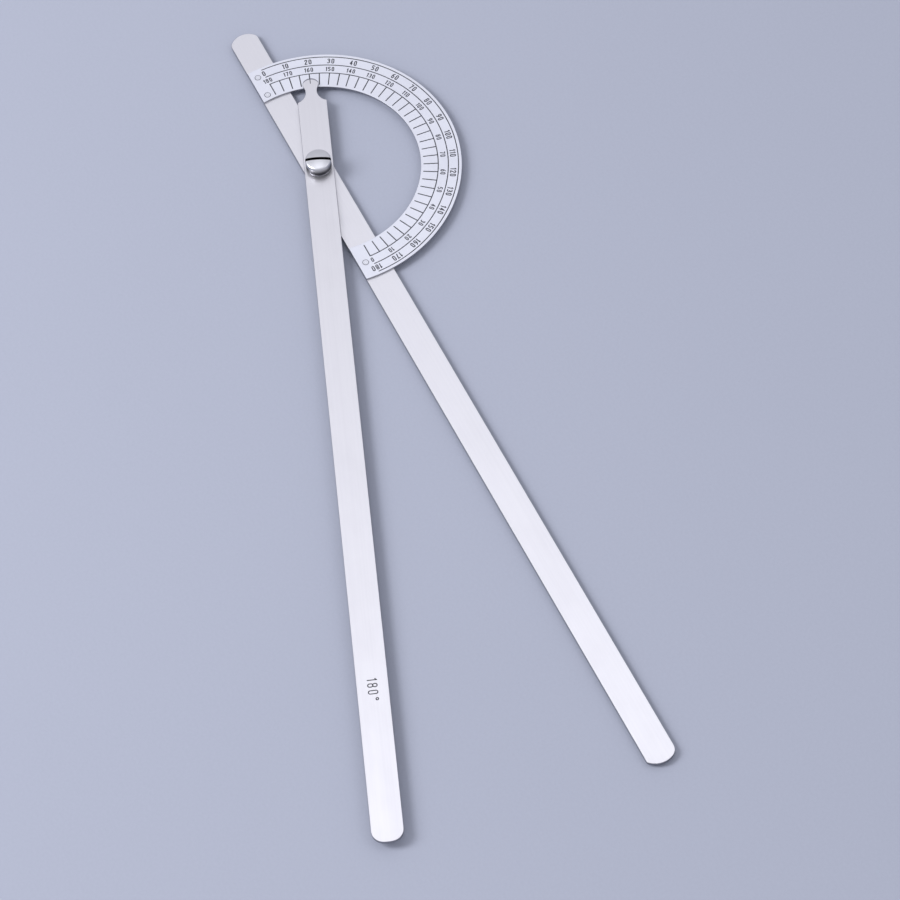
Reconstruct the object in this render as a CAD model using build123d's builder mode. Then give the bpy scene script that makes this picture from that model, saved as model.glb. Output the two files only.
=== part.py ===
from build123d import *

import os
from math import cos, radians, sin, sqrt

# A two-arm protractor lying on its back. The origin is on the pivot axis at the underside of the
# pivot post, +X runs along the fixed arm's long end, +Y points from the pivot to the scale, +Z is up.

# --- driving dimensions, mm -------------------------------------------------------------------

blade_width = 12.0
blade_thickness = 1.5
edge_break = 0.15

fixed_long_end = 299.5
fixed_long_crown = 8.0
fixed_long_inner_corner = 4.2
fixed_long_outer_corner = 1.0
fixed_tail_end = 77.9
fixed_tail_crown = 7.0
fixed_tail_corner = 2.9

moving_long_end = 301.25
moving_crown = 16.0
moving_corner = 4.8
rest_reading = 20.15

tip_radius = 3.25
tip_centre = 41.8
notch_radius = 5.25
notch_centre = 38.0
bevel_width = 0.9
bevel_slope = 0.45
index_line_length = 3.0
index_line_width = 0.3

scale_inner_radius = 41.4
scale_outer_radius = 58.0
scale_thickness = 0.8
scale_edge_break = 0.1
scale_span = 180
ring_radii = (48.4, 52.5, 56.63)
ring_line = 0.42
tick_inner_radius = 42.6
tick_line = 0.45
tick_step = 5
number_step = 10
outer_number_height = 2.1
outer_number_line = 0.43
inner_number_height = 1.8
inner_number_line = 0.38
engraving_depth = 0.1

rivet_places = ((-53.8, -3.0), (-43.9, -3.1), (50.3, -2.9))
rivet_shank_radius = 0.8
rivet_head_radius = 1.25
rivet_seat_radius = 1.37
rivet_cone_angle = 82

flange_radius = 5.0
flange_thickness = 1.2
barrel_radius = 3.25
running_clearance = 0.05
face_gap = 0.02
lift_gap = 0.2
washer_radius = 4.9
washer_bore_radius = 2.15
spring_metal = 0.28
spring_height = 0.42
thrust_thickness = 0.42

head_radius = 5.25
head_corner_height = 3.85
head_height = 4.62
head_edge_radius = 0.9
slot_width = 1.2
slot_depth = 2.0
slot_heading = 85.6
thread_radius = 2.0
thread_clearance = 0.03
thread_tip_gap = 0.3
blind_floor = 0.9
small_break = 0.2

mark_text = "180°"
mark_place = 239.5
mark_height = 3.5
mark_line = 0.4

# --- levels, from the table upwards, and the arms' planes ---------------------------------------

blade_half = blade_width / 2
fixed_top = flange_thickness + blade_thickness
scale_top = fixed_top + scale_thickness
moving_bottom = scale_top + lift_gap
moving_top = moving_bottom + blade_thickness
barrel_top = moving_top - 0.1
spring_top = moving_top + spring_height
thrust_bottom = spring_top + face_gap
head_bottom = thrust_bottom + thrust_thickness
bore_radius = barrel_radius + running_clearance


def heading_plane(heading, height):
    """Returns the level plane over the pivot whose x axis points along a heading in degrees."""
    along = (cos(radians(heading)), sin(radians(heading)), 0)
    return Plane(origin=(0, 0, height), x_dir=along, z_dir=(0, 0, 1))


fixed_plane = heading_plane(0, flange_thickness)
scale_plane = heading_plane(0, fixed_top)
moving_plane = heading_plane(-rest_reading, moving_bottom)
pivot_profile_plane = Plane.XZ

# --- engraved figures ---------------------------------------------------------------------------
# Each figure is drawn as the path of a round cutter in a cell one unit high, standing on y = 0 and
# centred on x = 0. The path is scaled to the figure's height, then given the cutter's width.

figure_half = 0.19
figure_step = 0.82
narrow_figure_step = 0.56
degree_radius = 0.13


def stroke(points, size, line):
    """Draws one open stroke through the points, rounded at both ends."""
    with BuildLine(mode=Mode.PRIVATE) as path:
        Polyline([(x * size, y * size) for x, y in points])
    SlotArc(path.wire(), line)


def curve(start, middle, end, size, line):
    """Draws one stroke along the arc through three points."""
    with BuildLine(mode=Mode.PRIVATE) as path:
        ThreePointArc(*[(x * size, y * size) for x, y in (start, middle, end)])
    SlotArc(path.wire(), line)


def loop(bottom, top, size, line):
    """Draws a closed upright loop with round ends between two heights."""
    length = (top - bottom) * size
    width = 2 * figure_half * size
    with Locations((0, (bottom + top) / 2 * size)):
        SlotOverall(length + line, width + line, rotation=90)
        SlotOverall(length - line, width - line, rotation=90, mode=Mode.SUBTRACT)


def figure(character, size, line):
    """Returns the outline of one engraved figure, for its height and stroke width in mm."""
    h = figure_half
    with BuildSketch() as outline:
        if character == "0":
            loop(0, 1, size, line)
        elif character == "1":
            stroke([(-0.08, 0.82), (0.06, 1), (0.06, 0)], size, line)
        elif character == "2":
            curve((-h, 0.8), (0, 1), (h, 0.76), size, line)
            stroke([(h, 0.76), (-h, 0), (h, 0)], size, line)
        elif character == "3":
            curve((-h, 0.9), (h, 0.76), (-h * 0.2, 0.54), size, line)
            curve((-h * 0.2, 0.54), (h, 0.27), (-h, 0.08), size, line)
        elif character == "4":
            stroke([(h, 0.3), (-h, 0.3), (h * 0.4, 1)], size, line)
            stroke([(h * 0.4, 1), (h * 0.4, 0)], size, line)
        elif character == "5":
            stroke([(h, 1), (-h, 1), (-h, 0.56)], size, line)
            curve((-h, 0.56), (h, 0.3), (-h, 0.05), size, line)
        elif character == "6":
            loop(0, 0.56, size, line)
            curve((-h, 0.3), (-h * 0.6, 0.74), (h * 0.7, 1), size, line)
        elif character == "7":
            stroke([(-h, 1), (h, 1), (-h * 0.3, 0)], size, line)
        elif character == "8":
            loop(0, 0.54, size, line)
            loop(0.54, 1, size, line)
        elif character == "9":
            loop(0.44, 1, size, line)
            curve((h, 0.7), (h * 0.6, 0.26), (-h * 0.7, 0), size, line)
        elif character == "-":
            stroke([(-h, 0.45), (h, 0.45)], size, line)
        elif character == "°":
            with Locations((0, (1 - degree_radius) * size)):
                Circle(degree_radius * size + line / 2)
                Circle(degree_radius * size - line / 2, mode=Mode.SUBTRACT)
    return outline.sketch


def spread(text, size):
    """Lists each character of a text with its place along the baseline, centred on zero."""
    steps = [narrow_figure_step if character == "1" else figure_step for character in text]
    edges = [sum(steps[:index]) - sum(steps) / 2 for index in range(len(text))]
    return [(character, (edge + step / 2) * size) for character, edge, step in zip(text, edges, steps)]


def number_row(radius, size, line, readings):
    """Draws one row of numbers with their tops outward, spread evenly over the scale's span."""
    turns = [scale_span / 2 - index * number_step for index in range(len(readings))]
    places = {}
    for turn, reading in zip(turns, readings):
        for character, along in spread(str(reading), size):
            place = Location((0, 0, 0), (0, 0, turn)) * Location((along, radius - size / 2, 0))
            places.setdefault(character, []).append(place)
    for character, locations in places.items():
        glyph = figure(character, size, line)
        with Locations(*locations):
            add(glyph)


# --- fixed arm ------------------------------------------------------------------------------------


def crown_inset(end, crown):
    """Returns how far along the blade its crowned end meets the straight edges."""
    return end - crown + sqrt(crown**2 - blade_half**2)


def break_edges(blade, size):
    """Takes the sharp edge off both faces of a plate."""
    chamfer(blade.faces().sort_by(Axis.Z)[-1].outer_wire().edges(), size)
    chamfer(blade.faces().sort_by(Axis.Z)[0].outer_wire().edges(), size)


with BuildPart() as fixed_arm:
    with BuildSketch(fixed_plane) as fixed_outline:
        with BuildLine():
            long_inset = crown_inset(fixed_long_end, fixed_long_crown)
            tail_inset = crown_inset(fixed_tail_end, fixed_tail_crown)
            ThreePointArc((long_inset, -blade_half), (fixed_long_end, 0), (long_inset, blade_half))
            Line((long_inset, blade_half), (-tail_inset, blade_half))
            ThreePointArc((-tail_inset, blade_half), (-fixed_tail_end, 0), (-tail_inset, -blade_half))
            Line((-tail_inset, -blade_half), (long_inset, -blade_half))
        make_face()
        far_corners = fixed_outline.vertices().group_by(Axis.X)[-1].sort_by(Axis.Y)
        fillet(far_corners[-1], fixed_long_inner_corner)
        fillet(far_corners[0], fixed_long_outer_corner)
        fillet(fixed_outline.vertices().group_by(Axis.X)[0], fixed_tail_corner)
    extrude(amount=blade_thickness)
    break_edges(fixed_arm, edge_break)
    with Locations((0, 0, fixed_top)):
        Hole(barrel_radius)
    for x, y in rivet_places:
        with Locations(Plane((x, y, flange_thickness), z_dir=(0, 0, -1))):
            CounterSinkHole(rivet_shank_radius, rivet_seat_radius, blade_thickness, rivet_cone_angle)
fixed_arm.part.label = "fixed_arm"

# --- scale arc: half a ring, its ends cut level with the fixed arm's far edge -----------------------

tick_length = ring_radii[0] - tick_inner_radius
outer_number_radius = (ring_radii[1] + ring_radii[2]) / 2
inner_number_radius = (ring_radii[0] + ring_radii[1]) / 2
outer_readings = list(range(0, scale_span + 1, number_step))
inner_readings = outer_readings[::-1]

with BuildPart() as scale_arc:
    with BuildSketch(scale_plane):
        Circle(scale_outer_radius)
        Circle(scale_inner_radius, mode=Mode.SUBTRACT)
        with Locations((0, -blade_half)):
            Rectangle(
                3 * scale_outer_radius,
                2 * scale_outer_radius,
                align=(Align.CENTER, Align.MAX),
                mode=Mode.SUBTRACT,
            )
    extrude(amount=scale_thickness)
    chamfer(scale_arc.faces().sort_by(Axis.Z)[-1].outer_wire().edges(), scale_edge_break)
    with BuildSketch(heading_plane(0, scale_top)):
        for radius in ring_radii:
            SlotArc(CenterArc((0, 0), radius, 0, scale_span), ring_line)
        with PolarLocations(
            tick_inner_radius + tick_length / 2,
            scale_span // tick_step + 1,
            angular_range=scale_span,
            endpoint=True,
        ):
            SlotOverall(tick_length + tick_line, tick_line)
        number_row(outer_number_radius, outer_number_height, outer_number_line, outer_readings)
        number_row(inner_number_radius, inner_number_height, inner_number_line, inner_readings)
    extrude(amount=-engraving_depth, mode=Mode.SUBTRACT)
    for x, y in rivet_places:
        with Locations((x, y, scale_top)):
            CounterSinkHole(rivet_shank_radius, rivet_seat_radius, scale_thickness, rivet_cone_angle)
scale_arc.part.label = "scale_arc"

# --- rivets: a countersunk head at each face, flush with it ------------------------------------------

rivet_head_depth = (rivet_head_radius - rivet_shank_radius) / (
    sin(radians(rivet_cone_angle / 2)) / cos(radians(rivet_cone_angle / 2))
)


def make_rivet(x, y):
    """Returns one rivet that spans the fixed arm and the scale plate."""
    with BuildPart() as rivet:
        with BuildSketch(Plane(origin=(x, y, 0), x_dir=(1, 0, 0), z_dir=(0, -1, 0))):
            with BuildLine():
                Polyline(
                    (0, flange_thickness),
                    (rivet_head_radius, flange_thickness),
                    (rivet_shank_radius, flange_thickness + rivet_head_depth),
                    (rivet_shank_radius, scale_top - rivet_head_depth),
                    (rivet_head_radius, scale_top),
                    (0, scale_top),
                    close=True,
                )
            make_face()
        revolve(axis=Axis((x, y, 0), (0, 0, 1)))
    return rivet.part


scale_rivets = [make_rivet(x, y) for x, y in rivet_places]
for number, rivet in enumerate(scale_rivets, start=1):
    rivet.label = f"scale_rivet_{number}"

# --- pivot post: a blind-tapped barrel on a flange, pressed through the fixed arm ---------------------

with BuildPart() as pivot_post:
    with BuildSketch():
        Circle(flange_radius)
    extrude(amount=flange_thickness)
    chamfer(pivot_post.edges().sort_by(Axis.Z)[0], small_break)
    with BuildSketch(heading_plane(0, flange_thickness)):
        Circle(barrel_radius)
    extrude(amount=barrel_top - flange_thickness)
    with BuildSketch(heading_plane(0, barrel_top)):
        Circle(thread_radius + thread_clearance)
    extrude(amount=-(barrel_top - blind_floor), mode=Mode.SUBTRACT)
    chamfer(pivot_post.faces().sort_by(Axis.Z)[-1].edges(), small_break)
pivot_post.part.label = "pivot_post"

with BuildPart() as spacer_washer:
    with BuildSketch(heading_plane(0, fixed_top)):
        Circle(washer_radius)
        Circle(bore_radius, mode=Mode.SUBTRACT)
    extrude(amount=moving_bottom - fixed_top - face_gap)
spacer_washer.part.label = "spacer_washer"

# --- moving arm: a crowned blade with a pointer tongue behind the pivot ---------------------------------
# The tongue's neck is cut by two round notches that run tangent into the round tip. The tip's upper
# edge is ground off on a cone whose axis stands nearer the pivot, which leaves a crescent bevel.

reach = tip_radius + notch_radius
notch_rise = sqrt(reach**2 - (tip_centre - notch_centre) ** 2)
neck_half = notch_rise - notch_radius
shoulder = notch_centre - sqrt(notch_radius**2 - (notch_rise - blade_half) ** 2)
blend_along = tip_centre - tip_radius * (tip_centre - notch_centre) / reach
blend_half = tip_radius * notch_rise / reach
tip_end = tip_centre + tip_radius

bevel_shift = bevel_width * (2 * tip_radius - bevel_width) / (2 * (tip_radius - bevel_width))
bevel_radius = tip_radius - bevel_width + bevel_shift
bevel_centre = tip_centre - bevel_shift
bevel_start = bevel_centre + bevel_radius
bevel_reach = 2.0

with BuildPart() as moving_arm:
    with BuildSketch(moving_plane) as moving_outline:
        with BuildLine():
            moving_inset = crown_inset(moving_long_end, moving_crown)
            ThreePointArc((moving_inset, -blade_half), (moving_long_end, 0), (moving_inset, blade_half))
            for side in (1, -1):
                Line((moving_inset, side * blade_half), (-shoulder, side * blade_half))
                ThreePointArc(
                    (-shoulder, side * blade_half),
                    (-notch_centre, side * neck_half),
                    (-blend_along, side * blend_half),
                )
            ThreePointArc((-blend_along, blend_half), (-tip_end, 0), (-blend_along, -blend_half))
        make_face()
        fillet(moving_outline.vertices().group_by(Axis.X)[-1], moving_corner)
    extrude(amount=blade_thickness)
    break_edges(moving_arm, edge_break)
    with Locations((0, 0, moving_top)):
        Hole(bore_radius)
    bevel_origin = moving_plane.from_local_coords((-bevel_centre, 0, blade_thickness))
    with BuildSketch(Plane(origin=bevel_origin, x_dir=-moving_plane.y_dir, z_dir=-moving_plane.x_dir)):
        with BuildLine():
            Polyline(
                (bevel_radius, 0),
                (bevel_radius + bevel_reach, 0),
                (bevel_radius + bevel_reach, -bevel_reach * bevel_slope),
                close=True,
            )
        make_face()
    revolve(axis=Axis(bevel_origin, (0, 0, 1)), revolution_arc=-scale_span, mode=Mode.SUBTRACT)
    with BuildSketch(Plane(origin=moving_plane.origin, x_dir=-moving_plane.x_dir, z_dir=moving_plane.y_dir)):
        with BuildLine():
            floor = blade_thickness - engraving_depth
            Polyline(
                (tip_end - index_line_length, blade_thickness + 1),
                (tip_end - index_line_length, floor),
                (bevel_start, floor),
                (bevel_start + bevel_reach, floor - bevel_reach * bevel_slope),
                (bevel_start + bevel_reach, blade_thickness + 1),
                close=True,
            )
        make_face()
    extrude(amount=index_line_width / 2, both=True, mode=Mode.SUBTRACT)
    with BuildSketch(moving_plane.offset(blade_thickness)):
        for character, along in spread(mark_text, mark_height):
            with Locations((mark_place + along, -mark_height / 2)):
                add(figure(character, mark_height, mark_line))
    extrude(amount=-engraving_depth, mode=Mode.SUBTRACT)
moving_arm.part.label = "moving_arm"

# --- friction stack and screw ------------------------------------------------------------------------------

with BuildPart() as spring_washer:
    with BuildSketch(pivot_profile_plane):
        with BuildLine():
            Polyline(
                (washer_radius, moving_top),
                (washer_radius, moving_top + spring_metal),
                (washer_bore_radius, spring_top),
                (washer_bore_radius, spring_top - spring_metal),
                close=True,
            )
        make_face()
    revolve(axis=Axis.Z)
spring_washer.part.label = "spring_washer"

with BuildPart() as thrust_washer:
    with BuildSketch(heading_plane(0, thrust_bottom)):
        Circle(washer_radius)
        Circle(washer_bore_radius, mode=Mode.SUBTRACT)
    extrude(amount=thrust_thickness)
thrust_washer.part.label = "thrust_washer"

with BuildPart() as pivot_screw:
    with BuildSketch(pivot_profile_plane) as screw_profile:
        with BuildLine():
            thread_tip = blind_floor + thread_tip_gap
            corner = (head_radius, head_bottom + head_corner_height)
            crown = (0, head_bottom + head_height)
            Polyline(
                crown,
                (0, thread_tip),
                (thread_radius - small_break, thread_tip),
                (thread_radius, thread_tip + small_break),
                (thread_radius, head_bottom),
                (head_radius, head_bottom),
                corner,
            )
            TangentArc(crown, corner, tangent=(1, 0))
        make_face()
        fillet(screw_profile.vertices().sort_by_distance(corner)[0], head_edge_radius)
    revolve(axis=Axis.Z)
    with BuildSketch(heading_plane(slot_heading - rest_reading, head_bottom + head_height)):
        Rectangle(3 * head_radius, slot_width)
    extrude(amount=-slot_depth, mode=Mode.SUBTRACT)
pivot_screw.part.label = "pivot_screw"

# --- write each piece ----------------------------------------------------------------------------------------

pieces = [fixed_arm.part, scale_arc.part, *scale_rivets, pivot_post.part, spacer_washer.part]
pieces += [moving_arm.part, spring_washer.part, thrust_washer.part, pivot_screw.part]

os.makedirs("parts", exist_ok=True)
for piece in pieces:
    export_step(piece, f"parts/{piece.label}.step")
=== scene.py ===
"""Looks of a two-arm steel protractor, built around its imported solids.

The solids already hold the blades, the half-ring scale with its engraving, the rivets and the pivot.
This script gives each of them its finish, fills the engraving with black, and sets a plain table,
soft lamps and a camera. Lengths are in metres, angles in degrees.
"""

from __future__ import annotations

import logging
import math
from abc import ABC, abstractmethod
from collections.abc import Iterable
from dataclasses import dataclass
from enum import Enum

import bpy
import numpy as np
from mathutils import Matrix, Quaternion, Vector

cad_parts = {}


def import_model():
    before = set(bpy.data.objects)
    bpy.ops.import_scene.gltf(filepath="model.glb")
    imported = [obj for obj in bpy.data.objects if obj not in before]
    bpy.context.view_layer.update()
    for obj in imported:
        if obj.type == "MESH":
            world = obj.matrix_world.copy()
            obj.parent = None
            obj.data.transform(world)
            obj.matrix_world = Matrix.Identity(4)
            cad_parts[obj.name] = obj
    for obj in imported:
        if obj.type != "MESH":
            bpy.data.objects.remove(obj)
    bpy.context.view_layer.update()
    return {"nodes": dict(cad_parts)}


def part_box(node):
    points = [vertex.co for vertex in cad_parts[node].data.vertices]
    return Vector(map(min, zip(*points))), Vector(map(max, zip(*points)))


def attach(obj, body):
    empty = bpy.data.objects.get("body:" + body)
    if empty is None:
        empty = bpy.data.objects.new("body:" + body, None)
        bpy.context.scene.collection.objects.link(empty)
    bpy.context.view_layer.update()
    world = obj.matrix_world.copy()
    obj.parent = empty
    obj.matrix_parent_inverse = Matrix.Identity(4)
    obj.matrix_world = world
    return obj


log = logging.getLogger("protractor")

MM = 0.001
EDGE_START = 0.01 * MM
EDGE_END = 0.10 * MM
Colour = tuple[float, float, float]
Point = tuple[float, float, float]


class Body(Enum):
    """The bodies that added pieces can ride on."""

    FIXED_ARM = "fixed_arm"
    MOVING_ARM = "moving_arm"


# --- shader building ------------------------------------------------------------------------------


@dataclass(frozen=True)
class Value:
    """One output of a shader node, which takes part in arithmetic."""

    graph: "Graph"
    socket: bpy.types.NodeSocket

    def _math(self, operation: str, left: "Value | float", right: "Value | float") -> "Value":
        """Returns the result of a Math node on two values."""
        return self.graph.node("ShaderNodeMath", {"operation": operation}, {0: left, 1: right})

    def __add__(self, other: "Value | float") -> "Value":
        """Returns this value plus another."""
        return self._math("ADD", self, other)

    def __radd__(self, other: float) -> "Value":
        """Returns a number plus this value."""
        return self._math("ADD", other, self)

    def __sub__(self, other: "Value | float") -> "Value":
        """Returns this value less another."""
        return self._math("SUBTRACT", self, other)

    def __rsub__(self, other: float) -> "Value":
        """Returns a number less this value."""
        return self._math("SUBTRACT", other, self)

    def __mul__(self, other: "Value | float") -> "Value":
        """Returns this value times another."""
        return self._math("MULTIPLY", self, other)


class Graph:
    """The node tree of one material."""

    def __init__(self, name: str) -> None:
        """Starts an empty material.

        Args:
            name: The material's name.
        """
        self.material = bpy.data.materials.new(name)
        self.material.use_nodes = True
        self.tree = self.material.node_tree
        self.tree.nodes.clear()

    def node(self, kind: str, settings: dict, inputs: dict, output: int | str = 0) -> Value:
        """Adds a node.

        Args:
            kind: The node's type name.
            settings: Its own settings, set before its sockets.
            inputs: A value, number or colour for each socket, by name or number.
            output: The output to return.

        Returns:
            The chosen output.
        """
        node = self.tree.nodes.new(kind)
        for name, setting in settings.items():
            setattr(node, name, setting)
        for name, value in inputs.items():
            if isinstance(value, Value):
                self.tree.links.new(value.socket, node.inputs[name])
            else:
                node.inputs[name].default_value = value
        return Value(self, node.outputs[output])

    def place(self, turn: float = 0.0, stretch: Point = (1, 1, 1), centre: Point = (0, 0, 0)) -> Value:
        """Returns a point's place on the piece, centred, turned about Z and stretched.

        Args:
            turn: The heading in degrees that becomes the first axis.
            stretch: What each turned axis is multiplied by.
            centre: The point that becomes the origin.
        """
        coordinates = self.node("ShaderNodeTexCoord", {}, {}, "Object")
        moved = self.node(
            "ShaderNodeVectorMath", {"operation": "SUBTRACT"}, {0: coordinates, 1: centre}, "Vector"
        )
        turned = self.node(
            "ShaderNodeVectorRotate",
            {"rotation_type": "Z_AXIS"},
            {"Vector": moved, "Angle": -math.radians(turn)},
            "Vector",
        )
        return self.node(
            "ShaderNodeVectorMath", {"operation": "MULTIPLY"}, {0: turned, 1: stretch}, "Vector"
        )

    def coordinate(self, place: Value, axis: str) -> Value:
        """Returns one coordinate of a place, by its axis letter."""
        return self.node("ShaderNodeSeparateXYZ", {}, {0: place}, axis)

    def radius(self, centre: Point) -> Value:
        """Returns a point's distance from the upright axis through a centre."""
        flat = self.place(stretch=(1, 1, 0), centre=centre)
        return self.node("ShaderNodeVectorMath", {"operation": "LENGTH"}, {0: flat}, "Value")

    def noise(self, place: Value, scale: float, detail: float = 2.0) -> Value:
        """Returns a noise from 0 to 1 at a place."""
        return self.node(
            "ShaderNodeTexNoise", {}, {"Vector": place, "Scale": scale, "Detail": detail}, "Fac"
        )

    def ramp(self, value: Value, low: float, high: float) -> Value:
        """Returns a value stretched so that low becomes 0 and high becomes 1, and clipped."""
        return self.node(
            "ShaderNodeMapRange", {"clamp": True}, {"Value": value, "From Min": low, "From Max": high}
        )

    def edge(self, bottom: float, top: float) -> Value:
        """Returns 1 on the sides and broken edges of a plate between two heights, 0 on its faces."""
        height = self.coordinate(self.place(), "Z")
        below = 1.0 - self.ramp(height, top - EDGE_END, top - EDGE_START)
        return below * self.ramp(height, bottom + EDGE_START, bottom + EDGE_END)

    def blend(self, mask: Value | float, first: Colour | Value, second: Colour | Value) -> Value:
        """Returns a mix of two colours, the second where the mask is 1."""
        inputs = {
            "Factor": mask,
            6: (*first, 1) if isinstance(first, tuple) else first,
            7: (*second, 1) if isinstance(second, tuple) else second,
        }
        return self.node("ShaderNodeMix", {"data_type": "RGBA"}, inputs, 2)

    def bump(self, height: Value, depth: float) -> Value:
        """Returns a normal bent by a height from 0 to 1, whose full relief is depth metres."""
        return self.node(
            "ShaderNodeBump", {}, {"Height": height, "Distance": depth, "Strength": 1.0}, "Normal"
        )

    def finish(self, inputs: dict) -> bpy.types.Material:
        """Ends the material in a Principled shader and returns it."""
        shader = self.node("ShaderNodeBsdfPrincipled", {}, inputs, "BSDF")
        output = self.tree.nodes.new("ShaderNodeOutputMaterial")
        self.tree.links.new(shader.socket, output.inputs["Surface"])
        return self.material


# --- finishes ---------------------------------------------------------------------------------------


class Finish(ABC):
    """How a surface looks."""

    @abstractmethod
    def material(self, name: str) -> bpy.types.Material:
        """Builds the finish as a material of that name."""


@dataclass(frozen=True)
class BrushedBlade(Finish):
    """Satin steel strip, brushed along its length, with painted shade darkening its sides and broken
    edges.
    """

    heading: float
    bottom: float
    top: float
    tint: Colour = (0.882, 0.866, 0.880)
    streak_tint: Colour = (0.830, 0.814, 0.830)
    # painted shade: the dark colour of the strip's sides and broken edges stands in for their shadow and
    # the shaded table they reflect
    edge_shade_tint: Colour = (0.30, 0.30, 0.33)
    roughness: float = 0.36
    grain_depth: float = 1.2e-6
    groove_grain: Point = (60, 9000, 9000)
    streak_grain: Point = (9, 1100, 1100)
    cloud_grain: Point = (60, 110, 110)
    pit_grain: Point = (1500, 4200, 4200)

    def material(self, name: str) -> bpy.types.Material:
        """Builds the brushed steel: fine grooves, wider streaks, faint cloudy handling marks and painted
        shade on the sides.
        """
        graph = Graph(name)
        fine = graph.noise(graph.place(self.heading, self.groove_grain), 1.0, 3.0)
        streak = graph.noise(graph.place(self.heading, self.streak_grain), 1.0, 2.0)
        cloud = graph.noise(graph.place(self.heading, self.cloud_grain), 1.0, 3.0)
        pit = graph.noise(graph.place(self.heading, self.pit_grain), 1.0, 1.0)
        mask = graph.ramp(streak, 0.35, 0.75) * 0.45 + graph.ramp(cloud, 0.42, 0.8) * 0.55
        face = graph.blend(mask, self.tint, self.streak_tint)
        # painted shade: the sides and broken edges are darkened in the base colour
        colour = graph.blend(graph.edge(self.bottom, self.top), face, self.edge_shade_tint)
        rough = self.roughness + (streak - 0.5) * 0.12 + (cloud - 0.5) * 0.10 + (fine - 0.5) * 0.08
        height = fine * 0.7 + streak * 0.3 + pit * 0.15
        return graph.finish(
            {
                "Base Color": colour,
                "Metallic": 1.0,
                "Roughness": rough,
                "Normal": graph.bump(height, self.grain_depth),
            }
        )


@dataclass(frozen=True)
class SatinScale(Finish):
    """Fine bead-blasted steel, matt and even, with painted shade darkening its sides and broken edges."""

    bottom: float
    top: float
    tint: Colour = (0.872, 0.878, 0.925)
    worn_tint: Colour = (0.812, 0.818, 0.864)
    # painted shade: the dark colour of the plate's sides and broken edges stands in for their contact
    # shadow
    edge_shade_tint: Colour = (0.28, 0.28, 0.31)
    roughness: float = 0.5
    grain_depth: float = 3.0e-6
    pit_scale: float = 5200
    cloud_scale: float = 70

    def material(self, name: str) -> bpy.types.Material:
        """Builds the matt steel: blasting pits, slow changes of tone and painted shade on the sides."""
        graph = Graph(name)
        pits = graph.noise(graph.place(), self.pit_scale, 2.0)
        cloud = graph.noise(graph.place(), self.cloud_scale, 3.0)
        face = graph.blend(graph.ramp(cloud, 0.4, 0.75), self.tint, self.worn_tint)
        # painted shade on the sides and broken edges
        colour = graph.blend(graph.edge(self.bottom, self.top), face, self.edge_shade_tint)
        rough = self.roughness + (cloud - 0.5) * 0.14 + (pits - 0.5) * 0.10
        return graph.finish(
            {
                "Base Color": colour,
                "Metallic": 1.0,
                "Roughness": rough,
                "Normal": graph.bump(pits, self.grain_depth),
            }
        )


@dataclass(frozen=True)
class TurnedSteel(Finish):
    """Steel with the fine rings that a lathe leaves round an upright axis."""

    centre: Point = (0, 0, 0)
    tint: Colour = (0.80, 0.80, 0.81)
    dull_tint: Colour = (0.66, 0.66, 0.68)
    roughness: float = 0.3
    ring_pitch: float = 0.12 * MM
    ring_depth: float = 0.6e-6
    tarnish_scale: float = 900

    def material(self, name: str) -> bpy.types.Material:
        """Builds the turned steel: rings by distance from the axis, and a little tarnish."""
        graph = Graph(name)
        radius = graph.radius(self.centre)
        phase = radius * (2 * math.pi / self.ring_pitch)
        rings = graph.node("ShaderNodeMath", {"operation": "SINE"}, {0: phase}) * 0.5 + 0.5
        tarnish = graph.noise(graph.place(centre=self.centre), self.tarnish_scale, 3.0)
        colour = graph.blend(graph.ramp(tarnish, 0.45, 0.8), self.tint, self.dull_tint)
        rough = self.roughness + (tarnish - 0.5) * 0.16
        return graph.finish(
            {
                "Base Color": colour,
                "Metallic": 1.0,
                "Roughness": rough,
                "Normal": graph.bump(rings + tarnish * 0.4, self.ring_depth),
            }
        )


@dataclass(frozen=True)
class RivetSteel(Finish):
    """A rivet head dressed flush with the plate, dark in the seam round it and fainter dark in its
    dimple.
    """

    centre: Point
    radius: float
    tint: Colour = (0.90, 0.905, 0.94)
    seam_tint: Colour = (0.16, 0.16, 0.19)
    grain_scale: float = 2600
    grain_depth: float = 6e-6
    seam_raggedness: float = 0.12 * MM

    def material(self, name: str) -> bpy.types.Material:
        """Builds the head: bright metal, a dark seam at its rim and a faint inner ring."""
        graph = Graph(name)
        radius = graph.radius(self.centre)
        grain = graph.noise(graph.place(centre=self.centre), self.grain_scale, 3.0)
        ragged = radius + (grain - 0.5) * self.seam_raggedness
        rim = graph.ramp(ragged, self.radius * 0.78, self.radius * 0.9)
        inner = graph.ramp(ragged, self.radius * 0.32, self.radius * 0.42) * (
            1.0 - graph.ramp(ragged, self.radius * 0.46, self.radius * 0.56)
        )
        mask = rim * 0.85 + inner * 0.35
        return graph.finish(
            {
                "Base Color": graph.blend(mask, self.tint, self.seam_tint),
                "Metallic": 1.0,
                "Roughness": 0.42 + (grain - 0.5) * 0.2,
                "Normal": graph.bump(grain - inner * 0.6, self.grain_depth),
            }
        )


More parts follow.
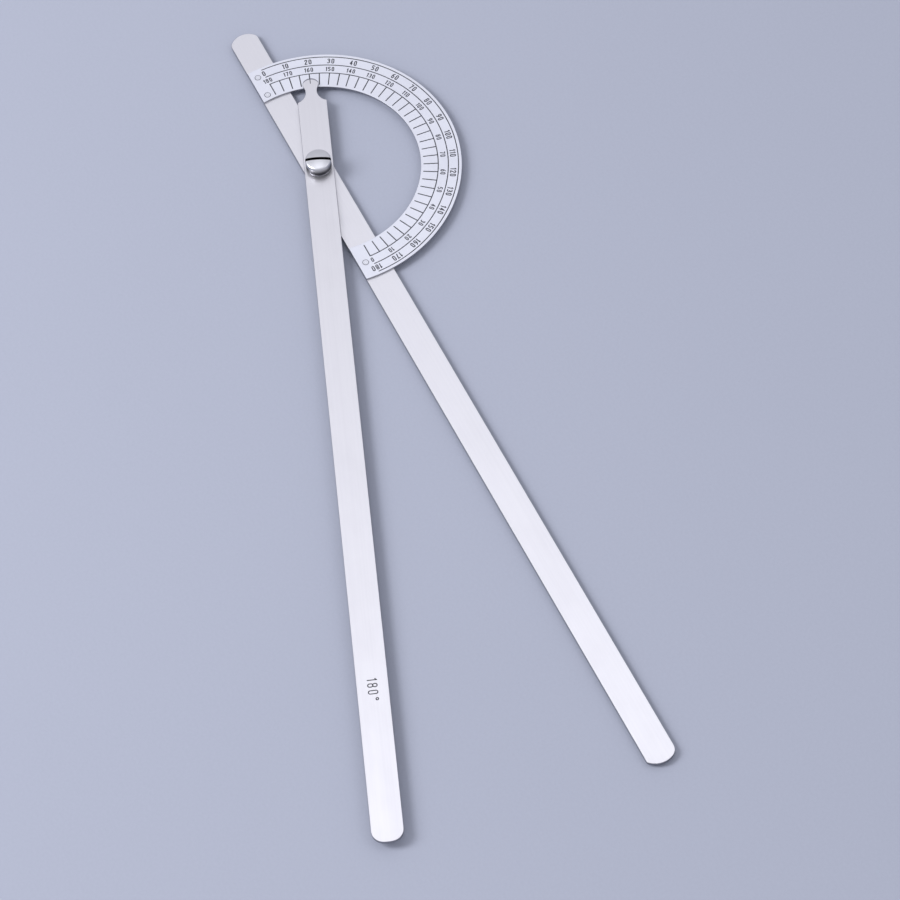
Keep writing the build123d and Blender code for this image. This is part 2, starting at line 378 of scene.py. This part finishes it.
@dataclass(frozen=True)
class PolishedScrew(Finish):
    """A polished slotted head: bright on its dome, with painted dark reflection down its wall and painted
    shade in its slot.
    """

    base: float
    shoulder: float
    slot_floor: float
    slot_heading: float
    slot_half: float = 0.6 * MM
    tint: Colour = (0.72, 0.72, 0.735)
    # painted reflection: the wall's dark colour stands for the dark surroundings it mirrors
    wall_dark_reflection_tint: Colour = (0.05, 0.05, 0.058)
    # painted shade: the slot's near-black colour stands for the shadow inside it
    slot_shade_tint: Colour = (0.02, 0.02, 0.024)
    dark_height: float = 1.2 * MM
    tarnish_scale: float = 1400
    scuff_grain: Point = (500, 4200, 4200)
    scuff_depth: float = 1.5e-6

    def material(self, name: str) -> bpy.types.Material:
        """Builds the head from its height and its distance across the slot."""
        graph = Graph(name)
        height = graph.coordinate(graph.place(), "Z")
        side = graph.coordinate(graph.place(self.slot_heading), "Y")
        across = graph.node("ShaderNodeMath", {"operation": "ABSOLUTE"}, {0: side})
        tarnish = graph.noise(graph.place(), self.tarnish_scale, 3.0)
        scuff = graph.noise(graph.place(self.slot_heading, self.scuff_grain), 1.0, 2.0)
        # painted reflection: the wall darkens towards its base
        wall = 1.0 - graph.ramp(
            height + (tarnish - 0.5) * (0.3 * MM), self.base + self.dark_height, self.shoulder + 0.1 * MM
        )
        metal = graph.blend(wall, self.tint, self.wall_dark_reflection_tint)
        # painted shade: the slot's walls and floor are darkened
        slot = 1.0 - graph.ramp(across, self.slot_half + 0.005 * MM, self.slot_half + 0.05 * MM)
        slot = slot * graph.ramp(height, self.slot_floor - 0.05 * MM, self.slot_floor)
        return graph.finish(
            {
                "Base Color": graph.blend(slot, metal, self.slot_shade_tint),
                "Metallic": 1.0,
                "Roughness": 0.34 + (tarnish - 0.5) * 0.12 + wall * 0.12,
                "Normal": graph.bump(scuff * 0.6 + tarnish * 0.4, self.scuff_depth),
            }
        )


@dataclass(frozen=True)
class FilledBlack(Finish):
    """Black wax rubbed into engraving: matt, slightly worn to grey."""

    tint: Colour = (0.015, 0.016, 0.022)
    worn_tint: Colour = (0.06, 0.06, 0.075)
    roughness: float = 0.55
    grain_scale: float = 4000
    wear_scale: float = 260
    grain_depth: float = 4e-6

    def material(self, name: str) -> bpy.types.Material:
        """Builds the black filling with grainy wear."""
        graph = Graph(name)
        grain = graph.noise(graph.place(), self.grain_scale, 3.0)
        wear = graph.noise(graph.place(), self.wear_scale, 2.0)
        mask = graph.ramp(wear + (grain - 0.5) * 0.4, 0.45, 0.8)
        return graph.finish(
            {
                "Base Color": graph.blend(mask, self.tint, self.worn_tint),
                "Roughness": self.roughness + (grain - 0.5) * 0.2,
                "Normal": graph.bump(grain, self.grain_depth),
            }
        )


@dataclass(frozen=True)
class TableTop(Finish):
    """Plain pale board."""

    tint: Colour = (0.392, 0.412, 0.480)
    shade: Colour = (0.370, 0.389, 0.455)
    roughness: float = 0.88
    cloud_scale: float = 6
    grain_scale: float = 900
    grain_depth: float = 2e-5

    def material(self, name: str) -> bpy.types.Material:
        """Builds the board: an even matt colour with a very slow change of tone."""
        graph = Graph(name)
        cloud = graph.noise(graph.place(), self.cloud_scale, 2.0)
        grain = graph.noise(graph.place(), self.grain_scale, 3.0)
        mask = cloud * 0.5 + graph.ramp(grain, 0.3, 0.7) * 0.5
        return graph.finish(
            {
                "Base Color": graph.blend(mask, self.tint, self.shade),
                "Roughness": self.roughness + (grain - 0.5) * 0.1,
                "Normal": graph.bump(grain, self.grain_depth),
            }
        )


# --- the engraving's black filling --------------------------------------------------------------------


@dataclass(frozen=True)
class Filling:
    """Black filling for one set of recesses: their floors, lifted to just below the face."""

    name: str
    body: Body
    face_height: float
    depth: float = 0.1 * MM
    fullness: float = 0.8
    thickness: float = 0.9
    bevel_slope: float = 0.0
    level_margin: float = 0.1
    tilt_margin: float = 0.01
    smallest_normal: float = 1e-18
    merging_digits: int = 8

    def floors(self, corners: np.ndarray, triangles: np.ndarray) -> np.ndarray:
        """Chooses the recess floors: level triangles that lie one depth below the face.

        Args:
            corners: The node's corner places, one row each.
            triangles: Corner numbers, three to a row.

        Returns:
            The chosen rows of triangles.
        """
        heights = corners[triangles][:, :, 2]
        level = self.face_height - self.depth
        chosen = (np.abs(heights - level) < self.level_margin * self.depth).all(axis=1)
        return triangles[chosen]

    def slopes(self, corners: np.ndarray, triangles: np.ndarray) -> np.ndarray:
        """Chooses the floors that run down a bevel, if there is one.

        Args:
            corners: The node's corner places, one row each.
            triangles: Corner numbers, three to a row.

        Returns:
            The chosen rows of triangles: as steep as the bevel, with the highest corner at floor level.
        """
        if not self.bevel_slope:
            return triangles[:0]
        spots = corners[triangles]
        normals = np.cross(spots[:, 1] - spots[:, 0], spots[:, 2] - spots[:, 0])
        normals /= np.maximum(np.linalg.norm(normals, axis=1, keepdims=True), self.smallest_normal)
        tilted = np.abs(normals[:, 2] - 1 / math.hypot(1, self.bevel_slope)) < self.tilt_margin
        level = self.face_height - self.depth
        starts = np.abs(spots[:, :, 2].max(axis=1) - level) < self.level_margin * self.depth
        return triangles[tilted & starts]

    def build(self, node: bpy.types.Object) -> bpy.types.Object:
        """Builds the filling.

        A floor is lifted straight up by its share of the depth, doubled corners are merged, and the
        sheet is thickened downwards into a closed solid that stays inside the recess.

        Args:
            node: The engraved node.

        Returns:
            The filling as a new object that rides on the node's body.
        """
        corners, triangles = node_triangles(node)
        sloping = self.slopes(corners, triangles)
        picked = np.concatenate([self.floors(corners, triangles), sloping])
        lifted = corners[picked].reshape(-1, 3) + (0, 0, self.depth * self.fullness)
        places, numbers = np.unique(np.round(lifted, self.merging_digits), axis=0, return_inverse=True)
        faces = numbers.reshape(-1, 3)
        faces = faces[(faces != np.roll(faces, -1, axis=1)).all(axis=1)]
        piece = new_piece(self.name, places, faces)
        solid = piece.modifiers.new("body", "SOLIDIFY")
        solid.thickness = self.depth * self.fullness * self.thickness
        solid.offset = -1
        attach(piece, self.body.value)
        piece.data.materials.append(FilledBlack().material(self.name))
        log.info("%s: %d triangles, %d of them sloping", self.name, len(faces), len(sloping))
        return piece


def node_triangles(node: bpy.types.Object) -> tuple[np.ndarray, np.ndarray]:
    """Returns a node's corner places and its triangles as corner numbers."""
    mesh = node.data
    corners = np.empty(len(mesh.vertices) * 3)
    mesh.vertices.foreach_get("co", corners)
    mesh.calc_loop_triangles()
    triangles = np.empty(len(mesh.loop_triangles) * 3, dtype=np.int64)
    mesh.loop_triangles.foreach_get("vertices", triangles)
    return corners.reshape(-1, 3), triangles.reshape(-1, 3)


def new_piece(name: str, places: np.ndarray, faces: np.ndarray) -> bpy.types.Object:
    """Makes an object from places and faces, at the origin and unturned.

    Args:
        name: The object's name.
        places: One row of coordinates for each corner.
        faces: One row of corner numbers for each face.

    Returns:
        The object, linked to the scene.
    """
    mesh = bpy.data.meshes.new(name)
    mesh.from_pydata(places.tolist(), [], faces.tolist())
    mesh.update()
    piece = bpy.data.objects.new(name, mesh)
    bpy.context.scene.collection.objects.link(piece)
    return piece


# --- studio --------------------------------------------------------------------------------------------


@dataclass(frozen=True)
class Table:
    """The plain surface that the protractor lies on."""

    half_size: float = 6.0
    height: float = 0.0

    def build(self) -> bpy.types.Object:
        """Builds the table top as one level sheet."""
        side = np.array([-self.half_size, self.half_size])
        across, along = np.meshgrid(side, side)
        places = np.stack([across.ravel(), along.ravel(), np.full(4, self.height)], axis=1)
        table = new_piece("table_top", places, np.array([[0, 1, 3, 2]]))
        table.data.materials.append(TableTop().material("table_top"))
        return table


@dataclass(frozen=True)
class SoftBox:
    """A square lamp with a cloth front, aimed at the protractor."""

    name: str
    heading: float
    elevation: float
    distance: float
    size: float
    power: float
    tint: Colour = (0.99, 1.0, 1.07)
    aim: Point = (0.12, -0.02, 0.0)

    def build(self) -> bpy.types.Object:
        """Hangs the lamp at its heading and elevation, facing its aim."""
        flat = math.cos(math.radians(self.elevation))
        towards = Vector(
            (
                flat * math.cos(math.radians(self.heading)),
                flat * math.sin(math.radians(self.heading)),
                math.sin(math.radians(self.elevation)),
            )
        )
        light = bpy.data.lights.new(self.name, "AREA")
        light.shape = "SQUARE"
        light.size = self.size
        light.energy = self.power
        light.color = self.tint
        lamp = bpy.data.objects.new(self.name, light)
        lamp.location = Vector(self.aim) + towards * self.distance
        lamp.rotation_euler = towards.to_track_quat("Z", "Y").to_euler()
        bpy.context.scene.collection.objects.link(lamp)
        return lamp


@dataclass(frozen=True)
class Studio:
    """Table, lamps, surrounding light and camera."""

    lamps: tuple[SoftBox, ...] = (
        SoftBox("left_low_box", -111, 38, 1.6, 0.5, 6.1),
        SoftBox("left_high_box", -111, 52, 1.6, 0.5, 10.0),
        SoftBox("far_box", 159, 62, 2.2, 0.9, 0.8),
        SoftBox("top_box", 159, 80, 2.2, 0.9, 2.25),
        SoftBox("right_box", 60, 50, 2.2, 0.9, 2.8),
    )
    surround: Colour = (0.617, 0.629, 0.70)
    camera_place: Point = (0.78333, -0.25737, 1.1419)
    camera_aim: Point = (0.14442, -0.01147, 0.0035)
    camera_roll: float = -5.8476
    lens: float = 137.944

    def build(self) -> None:
        """Sets the whole studio round the protractor."""
        self._camera()
        Table().build()
        for lamp in self.lamps:
            lamp.build()
        world = bpy.data.worlds.new("surround")
        world.use_nodes = True
        world.node_tree.nodes["Background"].inputs["Color"].default_value = (*self.surround, 1)
        bpy.context.scene.world = world
        bpy.context.scene.view_settings.view_transform = "Standard"

    def _camera(self) -> None:
        """Places the camera, aimed and rolled about its line of sight."""
        data = bpy.data.cameras.new("camera")
        data.lens = self.lens
        camera = bpy.data.objects.new("camera", data)
        sight = Vector(self.camera_aim) - Vector(self.camera_place)
        level = sight.to_track_quat("-Z", "Y")
        roll = Quaternion((0, 0, 1), math.radians(self.camera_roll))
        camera.matrix_world = Matrix.Translation(self.camera_place) @ (level @ roll).to_matrix().to_4x4()
        bpy.context.scene.collection.objects.link(camera)
        bpy.context.scene.camera = camera


# --- the protractor -------------------------------------------------------------------------------------


@dataclass(frozen=True)
class Protractor:
    """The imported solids, their finishes and the fillings added to them."""

    nodes: dict[str, bpy.types.Object]
    moving_heading: float = -20.15
    slot_heading: float = 65.45
    slot_depth: float = 2.0 * MM
    wall_height: float = 3.85 * MM
    bevel_slope: float = 0.45

    def dress(self) -> None:
        """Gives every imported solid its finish."""
        span = {name: (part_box(name)[0].z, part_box(name)[1].z) for name in self.nodes}
        head_base = span["thrust_washer"][1]
        finishes: dict[str, Finish] = {
            "fixed_arm": BrushedBlade(0.0, *span["fixed_arm"]),
            "moving_arm": BrushedBlade(
                self.moving_heading,
                *span["moving_arm"],
                # painted shade: the moving arm gets a darker copy of the fixed arm's steel, matching the
                # lower light it returns
                tint=(0.838, 0.822, 0.836),
                streak_tint=(0.786, 0.770, 0.786),
            ),
            "scale_arc": SatinScale(*span["scale_arc"]),
            "pivot_post": TurnedSteel(),
            "spacer_washer": TurnedSteel(),
            "thrust_washer": TurnedSteel(),
            # painted shade: the spring washer under the screw head is tinted dark for the shadow band
            # between head and arm
            "spring_washer": TurnedSteel(tint=(0.42, 0.42, 0.45), dull_tint=(0.3, 0.3, 0.33)),
            "pivot_screw": PolishedScrew(
                head_base,
                head_base + self.wall_height,
                span["pivot_screw"][1] - self.slot_depth,
                self.slot_heading,
            ),
        }
        rivets = [name for name in self.nodes if name.startswith("scale_rivet")]
        for name in rivets:
            low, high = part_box(name)
            centre = (low + high) / 2
            finishes[name] = RivetSteel((centre.x, centre.y, 0), (high.x - low.x) / 2)
        for name, finish in finishes.items():
            node = self.nodes[name]
            node.data.materials.clear()
            node.data.materials.append(finish.material(name))
            log.info("%s: %s", name, type(finish).__name__)

    def fill(self) -> None:
        """Fills the scale's engraving and the marks on the moving arm."""
        scale_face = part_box("scale_arc")[1].z
        arm_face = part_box("moving_arm")[1].z
        Filling("scale_filling", Body.FIXED_ARM, scale_face).build(self.nodes["scale_arc"])
        marks = Filling("arm_filling", Body.MOVING_ARM, arm_face, bevel_slope=self.bevel_slope)
        marks.build(self.nodes["moving_arm"])


def main() -> None:
    """Builds the protractor's looks and its studio."""
    logging.basicConfig(level=logging.INFO, format="%(message)s")
    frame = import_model()
    Studio().build()
    protractor = Protractor(frame["nodes"])
    protractor.dress()
    protractor.fill()


if __name__ == "__main__":
    main()
